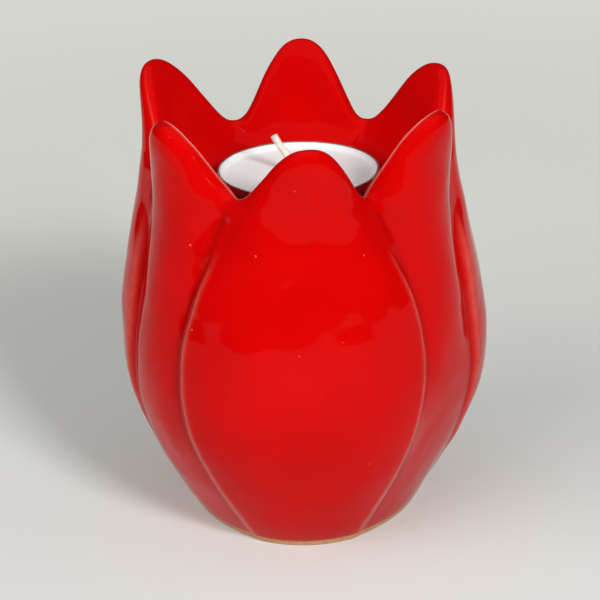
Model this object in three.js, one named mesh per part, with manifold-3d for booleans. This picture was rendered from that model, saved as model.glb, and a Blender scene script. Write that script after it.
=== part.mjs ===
// Glazed earthenware tulip with a tealight in the pocket between its six petals.
// Millimetres, +Z up. The front petal faces -Y, and azimuths are in degrees, 0 at the front and growing
// towards +X. The pieces are built round the flower's axis, and then the whole stands with the middle of
// its outline over the origin, because the front petal reaches further out than the back one.
import * as THREE from 'three';
import { mergeVertices } from 'three/addons/utils/BufferGeometryUtils.js';
import Module from 'manifold-3d';

const wasm = await Module();
wasm.setup();

// Tealight, the standard 38 mm size
const cupRadius = 18.7;
const cupHeight = 15;
const cupGauge = 0.3;
const cupTaper = 0.5;
const cupCorner = 1.6;
const rimBead = 0.45;
const beadTuck = 60;
const waxDrop = 1.2;
const waxMeniscus = 0.5;
const meniscusWidth = 1.8;
const wickRadius = 0.85;
const wickRise = 9.4;
const wickLean = 5.5;
const wickUpright = 1.6;
const wickKneeRise = 3.8;
const wickKneeLean = 2.6;
const tabRadius = 6.5;
const tabGauge = 0.3;
const neckWall = 0.35;
const neckHeight = 3.5;
const fitGap = 0.3;

// Flower, outside
const footRadius = 28.5;
const bellyRadius = 44.1;
const bellyHeight = 41.5;
const waistRadius = 39.1;
const crownRadius = 43.5;
const tipHeight = 100.2;
const notchHeight = 85.9;
const waistRise = 2.5;
const waistHeight = notchHeight + waistRise;
const footRound = 0.8;
const notchThickness = 4.2;
const tipThickness = 7.5;
const notchShoulder = 3;
const tipShoulder = 7;
const petalFullness = 1.13;
const creaseWidth = 3.2;
const creaseTop = 76;
const creaseFade = 12;
const creaseFillet = 1;
const notchFillet = 5;
const notchSharpness = 6;

// Flower, inside
const wall = 4.5;
const pocketClearance = 1.8;
const pocketRadius = cupRadius + rimBead + pocketClearance;
const pocketFloor = 68.4;
const pocketDepth = 12.5;
const pocketRound = 1.4;
const lipFullness = 1.4;
const bowlReach = 0.5;
const bowlRise = 0.1;
const bowlCrowding = 1.4;
const footThickness = 6;
const castRound = 5;
const drainRadius = 5;
const recessRadius = 17;
const recessDepth = 1.5;
const overcut = 2;

// Half of the angle that an outer petal covers, at the foot, at its widest and at the notches
const footHalfAngle = 29.1;
const wideHalfAngle = 45.4;
const notchHalfAngle = 29.5;
const wideHeight = 49.8;
const petalPitch = 60;

// How the petals swell, at five heights. Lobe is the fall of an outer petal from its middle to its edge,
// step is the drop over that edge to the inner petal beside it, and swell is that petal's rise again.
const shoulderHeight = 66;
const sections = {
  height: [0, bellyHeight, shoulderHeight, notchHeight, tipHeight],
  lobe: [1.3, 2.1, 3, 6.9, 6.4],
  step: [0.4, 1.5, 2.3, 1.6, 0.7],
  swell: [-1.5, 0.3, 2.5, 6.4, 5.3],
};

// The six petals in order of azimuth. Each stands a little off the regular flower, as a cast that was
// trimmed by hand does: rise is added to the tip's height and turn to its azimuth, and low, bulge and
// flare are how far it stands out near the foot, at its middle and at its tip. Crest is how far across
// the lip its highest line lies, from 0 at the outside to 1 at the inside.
const lowHeight = 27;
const bulgeHeight = 60;
const petals = [
  { outer: true, rise: 0.5, turn: 4, low: 0.6, bulge: 0.1, flare: -1.4, crest: 0.5 },
  { outer: false, rise: 3.8, turn: -5.1, low: -2, bulge: 0.9, flare: 1.6, crest: 0.8 },
  { outer: true, rise: 1.5, turn: -0.2, low: 1.3, bulge: -0.1, flare: 0, crest: 0.5 },
  { outer: false, rise: 2.9, turn: -1.5, low: -0.1, bulge: 1, flare: -0.7, crest: 0.5 },
  { outer: true, rise: 3.3, turn: -2, low: -1.5, bulge: 0.2, flare: 0.7, crest: 0.5 },
  { outer: false, rise: 1.1, turn: 0.3, low: 0.5, bulge: -0.7, flare: -1, crest: 0.8 },
];
const crownHeight = tipHeight + Math.max(...petals.map((petal) => petal.rise));

// Facets
const outerPetalSteps = 14;
const innerPetalSteps = 12;
const edgeCrowding = 0.6;
const wallSteps = 18;
const lipSteps = 4;
const bowlSteps = 10;
const roundSteps = 3;
const hollowPetalSteps = 6;
const hollowSteps = 9;
const turnedSteps = 44;
const meniscusSteps = 3;
const wickSides = 8;
const wickSteps = 20;

// Share of a petal's half width over which the rim's steepness is taken
const steepnessReach = 0.06;

const quarter = Math.PI / 2;

// A smooth curve through the values at rising heights, level with its neighbours' slope at each stop.
function smoothThrough(heights, values) {
  const last = heights.length - 1;
  const slopes = values.map((value, i) => {
    const before = Math.max(i - 1, 0);
    const after = Math.min(i + 1, last);
    return (values[after] - values[before]) / (heights[after] - heights[before]);
  });
  return (height) => {
    let i = 0;
    while (i < last - 1 && height > heights[i + 1]) i += 1;
    const span = heights[i + 1] - heights[i];
    const t = Math.min((height - heights[i]) / span, 1);
    const rise = values[i + 1] - values[i];
    const start = slopes[i] * span;
    const end = slopes[i + 1] * span;
    return values[i] + t * start + t * t * (3 * rise - 2 * start - end) + t ** 3 * (start + end - 2 * rise);
  };
}

const lobeAt = smoothThrough(sections.height, sections.lobe);
const stepAt = smoothThrough(sections.height, sections.step);
const swellAt = smoothThrough(sections.height, sections.swell);

// Radius along the middle of an outer petal: out from the foot to the belly, in to the waist and out
// again to the crown, at the height of the tallest tip.
function petalRadius(z) {
  if (z < bellyHeight) {
    const swell = Math.sin((quarter * z) / bellyHeight);
    return THREE.MathUtils.lerp(footRadius, bellyRadius, swell);
  }
  if (z < waistHeight) {
    const drawnIn = (1 - Math.cos((Math.PI * (z - bellyHeight)) / (waistHeight - bellyHeight))) / 2;
    return THREE.MathUtils.lerp(bellyRadius, waistRadius, drawnIn);
  }
  const flare = ((z - waistHeight) / (crownHeight - waistHeight)) ** 2;
  return waistRadius + (crownRadius - waistRadius) * flare;
}

// Half of the angle that an outer petal covers at a height. The inner petals have the rest.
function outerHalfAngle(z) {
  if (z < wideHeight) {
    return THREE.MathUtils.lerp(footHalfAngle, wideHalfAngle, Math.sin((quarter * z) / wideHeight));
  }
  const t = Math.min((z - wideHeight) / (notchHeight - wideHeight), 1);
  return THREE.MathUtils.lerp(notchHalfAngle, wideHalfAngle, Math.cos(quarter * t));
}

// Half of the angle that a petal covers at a height.
function halfAngle(petal, z) {
  return petal.outer ? outerHalfAngle(z) : petalPitch - outerHalfAngle(z);
}

// One of a petal's values, blended with its neighbour's towards the edge that they share, with u running
// from -1 to 1 across the petal.
function shared(index, u, name) {
  const neighbour = petals[(index + Math.sign(u) + petals.length) % petals.length];
  return petals[index][name] + ((neighbour[name] - petals[index][name]) / 2) * u ** 2;
}

// Radius at a height. An outer petal drops over a crisp edge to the inner one beside it. Near the notches
// the edge melts into a soft valley, and a fillet rounds the crease's bottom all the way up.
function surfaceRadius(index, u, z) {
  const petal = petals[index];
  const reach = smoothThrough(
    [0, lowHeight, bulgeHeight, tipHeight],
    [0, shared(index, u, 'low'), shared(index, u, 'bulge'), shared(index, u, 'flare')],
  );
  const middle = petalRadius(z) + reach(z);
  const sharp = THREE.MathUtils.smoothstep((creaseTop - z) / creaseFade, 0, 1);
  const fromEdge = (1 - Math.abs(u)) * THREE.MathUtils.degToRad(halfAngle(petal, z)) * petalRadius(z);
  const outerWidth = THREE.MathUtils.degToRad(outerHalfAngle(z)) * middle;
  const innerWidth = THREE.MathUtils.degToRad(petalPitch - outerHalfAngle(z)) * middle;
  const outerSlope = (2 * lobeAt(z) + notchSharpness * stepAt(z) * (1 - sharp)) / outerWidth;
  const slope = outerSlope + (2 * swellAt(z)) / innerWidth;
  const filletWidth = THREE.MathUtils.lerp(notchFillet, creaseFillet, sharp);
  const fillet = (slope / 4) * filletWidth * Math.max(1 - fromEdge / filletWidth, 0) ** 2;
  if (!petal.outer) return middle - lobeAt(z) - stepAt(z) + swellAt(z) * (1 - u ** 2) + fillet;
  const crisp = THREE.MathUtils.smoothstep(1 - fromEdge / creaseWidth, 0, 1);
  const drop = THREE.MathUtils.lerp(Math.abs(u) ** notchSharpness, crisp, sharp);
  return middle - lobeAt(z) * u ** 2 - stepAt(z) * drop + fillet;
}

// Azimuth at a height, in radians. A petal's turn grows from nothing at the foot.
function surfaceAzimuth(index, u, z) {
  const turn = shared(index, u, 'turn') * Math.min(z / notchHeight, 1);
  return THREE.MathUtils.degToRad(index * petalPitch + u * halfAngle(petals[index], z) + turn);
}

// Height of the rim: down from the petal's tip to the notch on either side.
function rimHeight(petal, u) {
  const fall = (1 + Math.cos(Math.PI * Math.abs(u) ** petalFullness)) / 2;
  return notchHeight + (tipHeight + petal.rise - notchHeight) * fall;
}

// How steeply the rim runs up the petal's side, as rise over run.
function rimSteepness(index, u) {
  const petal = petals[index];
  const low = Math.max(u - steepnessReach, -1);
  const high = Math.min(u + steepnessReach, 1);
  const z = rimHeight(petal, u);
  const run = surfaceRadius(index, u, z) * (surfaceAzimuth(index, high, z) - surfaceAzimuth(index, low, z));
  return (rimHeight(petal, high) - rimHeight(petal, low)) / run;
}

function onSurface(index, u, radius, angleHeight, z) {
  const azimuth = surfaceAzimuth(index, u, angleHeight);
  return new THREE.Vector3(radius * Math.sin(azimuth), -radius * Math.cos(azimuth), z);
}

// One column of the flower's skin, from the middle of the underside, round the foot, up the petal, over
// the lip's crest and down the bowl and the pocket to the middle of the pocket's floor.
function flowerColumn(index, u) {
  const top = rimHeight(petals[index], u);
  const thickness = THREE.MathUtils.lerp(notchThickness, tipThickness, 1 - u ** 2);
  const plainShoulder = THREE.MathUtils.lerp(notchShoulder, tipShoulder, 1 - u ** 2);
  const lipHeight = plainShoulder * Math.sqrt(1 + rimSteepness(index, u) ** 2);
  const shoulder = top - lipHeight;
  const crest = shared(index, u, 'crest');
  const place = (radius, z, angleHeight = z) => onSurface(index, u, radius, angleHeight, z);
  const column = [
    new THREE.Vector3(0, 0, recessDepth),
    place(recessRadius - recessDepth, recessDepth, 0),
    place(recessRadius, 0),
  ];
  for (let i = 0; i < roundSteps; i += 1) {
    const angle = (quarter * i) / roundSteps;
    const inset = footRound * (1 - Math.sin(angle));
    column.push(place(surfaceRadius(index, u, footRound) - inset, footRound * (1 - Math.cos(angle)), 0));
  }
  for (let i = 0; i <= wallSteps; i += 1) {
    const z = footRound + ((shoulder - footRound) * i) / wallSteps;
    column.push(place(surfaceRadius(index, u, z), z));
  }
  for (let i = 1; i <= lipSteps; i += 1) {
    const angle = (quarter * i) / lipSteps;
    const z = shoulder + lipHeight * Math.sin(angle);
    column.push(place(surfaceRadius(index, u, z) - thickness * crest * (1 - Math.cos(angle)), z));
  }
  const mouth = pocketFloor + pocketDepth;
  const start = new THREE.Vector2(surfaceRadius(index, u, top) - thickness * crest, top);
  const over = new THREE.Vector2(start.x - thickness * (1 - crest) * lipFullness, top);
  const end = new THREE.Vector2(pocketRadius + pocketRound, mouth);
  const foot = new THREE.Vector2(
    THREE.MathUtils.lerp(end.x, start.x, bowlReach),
    THREE.MathUtils.lerp(end.y, start.y, bowlRise),
  );
  const bowl = new THREE.CubicBezierCurve(start, over, foot, end);
  for (let i = 1; i <= bowlSteps; i += 1) {
    const point = bowl.getPoint((i / bowlSteps) ** bowlCrowding);
    column.push(place(point.x, point.y, Math.max(point.y, notchHeight)));
  }
  for (let i = 1; i <= roundSteps; i += 1) {
    const angle = (quarter * i) / roundSteps;
    const radius = pocketRadius + pocketRound * (1 - Math.sin(angle));
    column.push(place(radius, mouth - pocketRound * (1 - Math.cos(angle)), notchHeight));
  }
  column.push(place(pocketRadius, pocketFloor, notchHeight));
  column.push(new THREE.Vector3(0, 0, pocketFloor));
  return column;
}

// One column of the space inside the casting, a wall's thickness in from the outside.
function hollowColumn(index, u) {
  const ceiling = pocketFloor + pocketDepth - wall;
  const place = (inset, z) => onSurface(index, u, surfaceRadius(index, u, z) - wall - inset, z, z);
  const column = [new THREE.Vector3(0, 0, footThickness)];
  for (let i = 0; i < roundSteps; i += 1) {
    const angle = (quarter * i) / roundSteps;
    column.push(place(castRound * (1 - Math.sin(angle)), footThickness + castRound * (1 - Math.cos(angle))));
  }
  const low = footThickness + castRound;
  const high = ceiling - castRound;
  for (let i = 0; i <= hollowSteps; i += 1) column.push(place(0, low + ((high - low) * i) / hollowSteps));
  for (let i = 1; i <= roundSteps; i += 1) {
    const angle = (quarter * i) / roundSteps;
    column.push(place(castRound * (1 - Math.cos(angle)), high + castRound * Math.sin(angle)));
  }
  column.push(new THREE.Vector3(0, 0, ceiling));
  return column;
}

// Columns all round the flower, closer together at the edges of the outer petals.
function columnsAround(makeColumn, outerSteps, innerSteps) {
  const columns = [];
  petals.forEach((petal, index) => {
    const steps = petal.outer ? outerSteps : innerSteps;
    for (let i = 0; i < steps; i += 1) {
      const even = (2 * i) / steps - 1;
      const crowded = THREE.MathUtils.lerp(even, Math.sin(quarter * even), edgeCrowding);
      columns.push(makeColumn(index, petal.outer ? crowded : even));
    }
  });
  return columns;
}

// A closed skin over columns that all start at one point on the axis and end at another.
function skinOver(columns) {
  const rows = columns[0].length;
  const inner = rows - 2;
  const positions = [];
  const indices = [];
  columns.forEach((column) => column.slice(1, -1).forEach((point) => positions.push(...point.toArray())));
  const first = positions.length / 3;
  positions.push(...columns[0][0].toArray(), ...columns[0][rows - 1].toArray());
  columns.forEach((column, c) => {
    const here = c * inner;
    const next = ((c + 1) % columns.length) * inner;
    indices.push(first, next, here);
    for (let r = 0; r < inner - 1; r += 1) {
      indices.push(here + r, next + r, next + r + 1);
      indices.push(here + r, next + r + 1, here + r + 1);
    }
    indices.push(first + 1, here + inner - 1, next + inner - 1);
  });
  const geometry = new THREE.BufferGeometry();
  geometry.setAttribute('position', new THREE.Float32BufferAttribute(positions, 3));
  geometry.setIndex(indices);
  return geometry;
}

// A profile of [radius, height] points turned about the Z axis.
function turned(profile) {
  const points = profile.map(([radius, height]) => new THREE.Vector2(radius, height));
  return new THREE.LatheGeometry(points, turnedSteps).rotateX(quarter);
}

// Points of an arc about a centre, from one angle to another, counted from straight out.
function arc(centreRadius, centreHeight, radius, startAngle, endAngle, steps) {
  return Array.from({ length: steps + 1 }, (_, i) => {
    const angle = THREE.MathUtils.degToRad(startAngle + ((endAngle - startAngle) * i) / steps);
    return [centreRadius + radius * Math.cos(angle), centreHeight + radius * Math.sin(angle)];
  });
}

function toSolid(geometry) {
  const bare = geometry.clone();
  bare.deleteAttribute('normal');
  bare.deleteAttribute('uv');
  const merged = mergeVertices(bare);
  const triVerts = new Uint32Array(merged.index.array);
  const vertProperties = new Float32Array(merged.attributes.position.array);
  return new wasm.Manifold(new wasm.Mesh({ numProp: 3, vertProperties, triVerts }));
}

function toGeometry(solid) {
  const mesh = solid.getMesh();
  const geometry = new THREE.BufferGeometry();
  geometry.setAttribute('position', new THREE.Float32BufferAttribute(mesh.vertProperties, 3));
  geometry.setIndex(Array.from(mesh.triVerts));
  geometry.computeVertexNormals();
  return geometry;
}

// The casting: a thick-lipped flower with a pocket for the tealight, hollow under the pocket and drained
// through a hole in the foot.
function makeHolder() {
  const flower = toSolid(skinOver(columnsAround(flowerColumn, outerPetalSteps, innerPetalSteps)));
  const inside = toSolid(skinOver(columnsAround(hollowColumn, hollowPetalSteps, hollowPetalSteps)));
  const jacketRadius = pocketRadius + wall;
  const jacketFloor = pocketFloor - wall;
  const jacket = toSolid(turned([
    [0, jacketFloor],
    ...arc(jacketRadius - castRound, jacketFloor + castRound, castRound, -90, 0, roundSteps),
    [jacketRadius, pocketFloor + pocketDepth],
    [0, pocketFloor + pocketDepth],
  ]));
  const drain = toSolid(turned([
    [0, -overcut],
    [drainRadius, -overcut],
    [drainRadius, footThickness + overcut],
    [0, footThickness + overcut],
  ]));
  return toGeometry(flower.subtract(inside.subtract(jacket)).subtract(drain));
}

// The pressed cup, open at the top, with its edge rolled outwards.
function makeCup() {
  const bottomRadius = cupRadius - cupTaper;
  const beadHeight = cupHeight - rimBead;
  return turned([
    [0, 0],
    ...arc(bottomRadius - cupCorner, cupCorner, cupCorner, -90, 0, roundSteps),
    [cupRadius, beadHeight - rimBead],
    ...arc(cupRadius, beadHeight, rimBead, -beadTuck, 180, 2 * roundSteps),
    [cupRadius - cupGauge, beadHeight - rimBead],
    ...arc(bottomRadius - cupCorner, cupCorner, cupCorner - cupGauge, 0, -90, roundSteps),
    [0, cupGauge],
  ]);
}

// The wax climbs a little against a wall at a radius. It lies outward of the wick (direction 1) and
// inward of the cup (direction -1).
function meniscus(radius, direction, level) {
  return Array.from({ length: meniscusSteps + 1 }, (_, i) => {
    const t = i / meniscusSteps;
    return [radius + direction * meniscusWidth * t, level + waxMeniscus * (1 - t) ** 2];
  });
}

// The candle stands on the cup's floor, hollowed underneath for the sustainer and bored for the wick.
function makeWax() {
  const top = cupHeight - cupGauge - waxDrop;
  const bottomRadius = cupRadius - cupTaper - cupGauge - fitGap;
  const topRadius = cupRadius - cupGauge - fitGap;
  const boreRadius = wickRadius + fitGap;
  const neckRadius = boreRadius + neckWall;
  return turned([
    [tabRadius + fitGap, 0],
    ...arc(bottomRadius - cupCorner, cupCorner, cupCorner, -90, 0, roundSteps),
    ...meniscus(topRadius, -1, top),
    ...meniscus(boreRadius, 1, top).reverse(),
    [boreRadius, neckHeight + fitGap],
    [neckRadius + fitGap, neckHeight + fitGap],
    [neckRadius + fitGap, tabGauge + fitGap],
    [tabRadius + fitGap, tabGauge + fitGap],
    [tabRadius + fitGap, 0],
  ]);
}

// The steel tab under the candle, with the neck that grips the wick.
function makeSustainer() {
  const boreRadius = wickRadius + fitGap;
  const neckRadius = boreRadius + neckWall;
  return turned([
    [boreRadius, 0],
    [tabRadius, 0],
    [tabRadius, tabGauge],
    [neckRadius, tabGauge],
    [neckRadius, neckHeight],
    [boreRadius, neckHeight],
    [boreRadius, 0],
  ]);
}

// The wick runs straight up through the candle, bends over just above it and leans to the left.
function makeWick() {
  const surface = cupHeight - cupGauge - waxDrop;
  const section = new THREE.Shape();
  section.absarc(0, 0, wickRadius, 0, 2 * Math.PI, false);
  const path = new THREE.CurvePath();
  const foot = new THREE.Vector3(0, 0, 0);
  const exit = new THREE.Vector3(0, 0, surface);
  const upright = new THREE.Vector3(0, 0, surface + wickUpright);
  const knee = new THREE.Vector3(-wickKneeLean, 0, surface + wickKneeRise);
  const tip = new THREE.Vector3(-wickLean, 0, surface + wickRise);
  path.add(new THREE.LineCurve3(foot, exit));
  path.add(new THREE.CubicBezierCurve3(exit, upright, knee, tip));
  return new THREE.ExtrudeGeometry(section, {
    extrudePath: path,
    steps: wickSteps,
    curveSegments: wickSides,
    bevelEnabled: false,
  });
}

function makePiece(name, geometry, colour, roughness, metalness = 0) {
  const material = new THREE.MeshStandardMaterial({ color: colour, roughness, metalness });
  const mesh = new THREE.Mesh(geometry, material);
  mesh.name = name;
  return mesh;
}

const candle = new THREE.Group();
candle.position.z = cupGauge;
candle.add(makePiece('candle_wax', makeWax(), 0xf4f1ec, 0.45));
candle.add(makePiece('wick', makeWick(), 0xece6da, 0.85));
candle.add(makePiece('wick_sustainer', makeSustainer(), 0xb9bcc0, 0.35, 1));

const tealight = new THREE.Group();
tealight.position.z = pocketFloor;
tealight.add(makePiece('tealight_cup', makeCup(), 0xc9cbce, 0.3, 1));
tealight.add(candle);

const flower = new THREE.Group();
flower.add(makePiece('tulip_holder', makeHolder(), 0xd01210, 0.12));
flower.add(tealight);
const middle = new THREE.Box3().setFromObject(flower).getCenter(new THREE.Vector3());
flower.position.set(-middle.x, -middle.y, 0);

const tulip = new THREE.Group();
tulip.add(flower);

export default tulip;
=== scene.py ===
"""A red glazed earthenware tulip with a tealight in the pocket between its six petals.

Sizes are in millimetres until a mesh is made. Azimuths are 0 at the front petal and grow towards +X, about
the flower's axis, on which the tealight stands too.
"""

import logging
import math
from collections.abc import Iterator
from dataclasses import dataclass
from enum import Enum

import bmesh
import bpy
import numpy as np
from bpy.types import Material, Node, NodeSocket, NodeTree, Object
from mathutils import Matrix, Vector, noise


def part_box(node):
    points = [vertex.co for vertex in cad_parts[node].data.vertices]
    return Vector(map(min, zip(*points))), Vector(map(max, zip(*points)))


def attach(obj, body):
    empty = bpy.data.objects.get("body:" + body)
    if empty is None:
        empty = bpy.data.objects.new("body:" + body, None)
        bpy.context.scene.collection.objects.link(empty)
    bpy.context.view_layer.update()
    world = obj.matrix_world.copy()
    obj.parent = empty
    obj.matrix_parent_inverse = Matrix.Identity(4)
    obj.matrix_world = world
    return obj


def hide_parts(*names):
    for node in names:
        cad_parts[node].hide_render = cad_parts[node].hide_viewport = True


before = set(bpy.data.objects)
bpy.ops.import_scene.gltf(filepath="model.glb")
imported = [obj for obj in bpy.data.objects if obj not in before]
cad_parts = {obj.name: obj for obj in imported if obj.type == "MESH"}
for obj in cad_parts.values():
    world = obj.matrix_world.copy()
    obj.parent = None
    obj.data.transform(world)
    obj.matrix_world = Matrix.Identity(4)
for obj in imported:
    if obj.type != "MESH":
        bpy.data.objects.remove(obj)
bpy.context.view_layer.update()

LOG = logging.getLogger("tulip")
MM = 0.001
QUARTER = math.pi / 2
TURN = 2 * math.pi
# Colour of the ground behind the object, where the floor's paper goes on
BACKDROP = "#D7D9D2"
SHARP_ANGLE = math.radians(38)
# Steps round a small rounded corner
CORNER_STEPS = 6

# Pairs of radius and height
Profile = list[tuple[float, float]]


def tealight_axis() -> Vector:
    """Gives the foot of the flower's axis, in metres, from the tealight that stands on that axis."""
    low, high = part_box("tealight_cup")
    return Vector(((low.x + high.x) / 2, (low.y + high.y) / 2, 0))


AXIS = tealight_axis()


class Layer(Enum):
    """Which ring of the flower a petal belongs to."""

    OUTER = "outer"
    INNER = "inner"


class Mark(Enum):
    """What the flower's mesh tells its glaze, point by point."""

    # Thin glaze over crests and at the foot, and a painted highlight on the outer petals' step faces
    THIN = "glaze_thin_and_highlight"
    # Painted shade along the creases, and a darker band just above the glaze's lower edge
    CREASE_SHADE_AND_FOOT_DARK = "glaze_crease_shade_and_foot_dark"


def linear(colour: str) -> tuple[float, float, float, float]:
    """Turns an sRGB colour into the linear values that Blender works in.

    Args:
        colour: The colour as #RRGGBB.

    Returns:
        Linear red, green and blue, and an alpha of 1.
    """
    channels = (int(colour[i : i + 2], 16) / 255 for i in (1, 3, 5))
    return (*(c / 12.92 if c <= 0.04045 else ((c + 0.055) / 1.055) ** 2.4 for c in channels), 1.0)


def add_node(tree: NodeTree, kind: str, inputs: dict | None = None, **settings) -> Node:
    """Adds a node with its settings and links.

    Args:
        tree: The node tree.
        kind: Blender's name of the node's type.
        inputs: A value, or another node's output to link, for each socket by name or number.
        **settings: The node's own properties.

    Returns:
        The node.
    """
    node = tree.nodes.new(kind)
    for name, value in settings.items():
        setattr(node, name, value)
    for socket, value in (inputs or {}).items():
        if isinstance(value, NodeSocket):
            tree.links.new(value, node.inputs[socket])
        else:
            node.inputs[socket].default_value = value
    return node


def per_metre(size: float) -> float:
    """Gives the scale of a texture whose pattern has a size in millimetres."""
    return 1 / (size * MM)


def patched(
    tree: NodeTree,
    place: NodeSocket,
    size: float,
    colours: tuple[str, str],
    detail: float = 2.0,
    edges: tuple[float, float] = (0.0, 1.0),
    most: float = 1.0,
) -> tuple[NodeSocket, NodeSocket]:
    """Mixes two colours in soft patches.

    Args:
        tree: The node tree.
        place: The point on the object.
        size: The patches' size in millimetres.
        colours: The ground's colour and the patches'.
        detail: How finely the patches break up.
        edges: The pattern's values at which the second colour starts and is full.
        most: The largest share of the second colour.

    Returns:
        The pattern and the mixed colour.
    """
    spread = {"Vector": place, "Scale": per_metre(size), "Detail": detail}
    pattern = add_node(tree, "ShaderNodeTexNoise", spread).outputs["Fac"]
    reach = {"Value": pattern, "From Min": edges[0], "From Max": edges[1], "To Max": most}
    share = add_node(tree, "ShaderNodeMapRange", reach)
    mixed = {0: share.outputs[0], 6: linear(colours[0]), 7: linear(colours[1])}
    return pattern, add_node(tree, "ShaderNodeMix", mixed, data_type="RGBA").outputs[2]


def uneven(
    tree: NodeTree,
    place: NodeSocket,
    size: float,
    depth: float,
    strength: float = 1.0,
) -> NodeSocket:
    """Makes a surface slightly uneven.

    Args:
        tree: The node tree.
        place: The point on the object.
        size: Size of the bumps in millimetres.
        depth: Their depth.
        strength: How much of them shows.

    Returns:
        The surface's normal.
    """
    bumps = add_node(tree, "ShaderNodeTexNoise", {"Vector": place, "Scale": per_metre(size)})
    relief = {"Height": bumps.outputs["Fac"], "Strength": strength, "Distance": depth * MM}
    return add_node(tree, "ShaderNodeBump", relief).outputs["Normal"]


def seen_directly(tree: NodeTree, bent_share: float | NodeSocket = 1.0) -> NodeSocket:
    """Tells the rays that show the pale ground from those that light the object.

    Args:
        tree: The node tree.
        bent_share: How much of it shows off metal and through glass.

    Returns:
        1 for the camera's rays, that share for mirrored and bent ones, and 0 for the rest.
    """
    path = add_node(tree, "ShaderNodeLightPath")
    either = {0: path.outputs["Is Glossy Ray"], 1: path.outputs["Is Transmission Ray"]}
    bent = add_node(tree, "ShaderNodeMath", either, operation="MAXIMUM")
    part = add_node(tree, "ShaderNodeMath", {0: bent.outputs[0], 1: bent_share}, operation="MULTIPLY")
    either = {0: path.outputs["Is Camera Ray"], 1: part.outputs[0]}
    return add_node(tree, "ShaderNodeMath", either, operation="MAXIMUM").outputs[0]


def lerp(start: float, end: float, share: float) -> float:
    """Goes from one value to another by a share. Arrays will do."""
    return start + (end - start) * share


def smooth_step(t: np.ndarray) -> np.ndarray:
    """Rises from 0 to 1, level at both ends, as t does."""
    t = np.clip(t, 0, 1)
    return t * t * (3 - 2 * t)


def hump(distance: np.ndarray, width: float) -> np.ndarray:
    """Falls from 1 at no distance to about a third at a width away."""
    return np.exp(-((distance / width) ** 2))


def bezier(t: np.ndarray, a: np.ndarray, b: np.ndarray, c: np.ndarray, d: np.ndarray) -> np.ndarray:
    """Runs along a curve from a to d, which b and c pull at, as t goes from 0 to 1."""
    return (1 - t) ** 3 * a + 3 * t * (1 - t) ** 2 * b + 3 * t**2 * (1 - t) * c + t**3 * d


def arc(
    radius: float, height: float, bend: float, start: float, end: float, steps: int = CORNER_STEPS
) -> Profile:
    """Lists points of an arc in a turned profile.

    Args:
        radius: Distance of the arc's centre from the axis.
        height: Height of the arc's centre.
        bend: The arc's own radius.
        start: First angle in degrees, counted from straight out.
        end: Last angle.
        steps: Number of steps between them.

    Returns:
        Pairs of radius and height.
    """
    angles = np.radians(np.linspace(start, end, steps + 1))
    return [(radius + bend * math.cos(a), height + bend * math.sin(a)) for a in angles]


def turned(profile: Profile, steps: int) -> np.ndarray:
    """Turns a profile about the axis.

    Args:
        profile: Pairs of radius and height, out along the bottom, up the outside and down the inside.
        steps: Number of columns round the axis.

    Returns:
        Points as an array of columns by rows by three.
    """
    radius, height = np.array(profile).T
    azimuth = np.linspace(0, TURN, steps, endpoint=False)[:, None]
    return np.stack([radius * np.sin(azimuth), -radius * np.cos(azimuth), height + 0 * azimuth], -1)


@dataclass(frozen=True)
class Finish:
    """A surface finish that can be made into a material."""

    name: str

    def look(self, tree: NodeTree, place: NodeSocket) -> dict:
        """Builds the finish's own nodes and gives its shader's inputs, for a point on the object."""
        raise NotImplementedError

    def shader(self, tree: NodeTree, place: NodeSocket) -> Node:
        """Makes the shader, for a point on the object."""
        return add_node(tree, "ShaderNodeBsdfPrincipled", self.look(tree, place))

    def material(self) -> Material:
        """Makes the material, once for each finish."""
        made = bpy.data.materials.get(self.name)
        if made is None:
            made = bpy.data.materials.new(self.name)
            made.use_nodes = True
            tree = made.node_tree
            tree.nodes.clear()
            shader = self.shader(tree, add_node(tree, "ShaderNodeTexCoord").outputs["Object"])
            add_node(tree, "ShaderNodeOutputMaterial", {"Surface": shader.outputs[0]})
        return made


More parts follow.
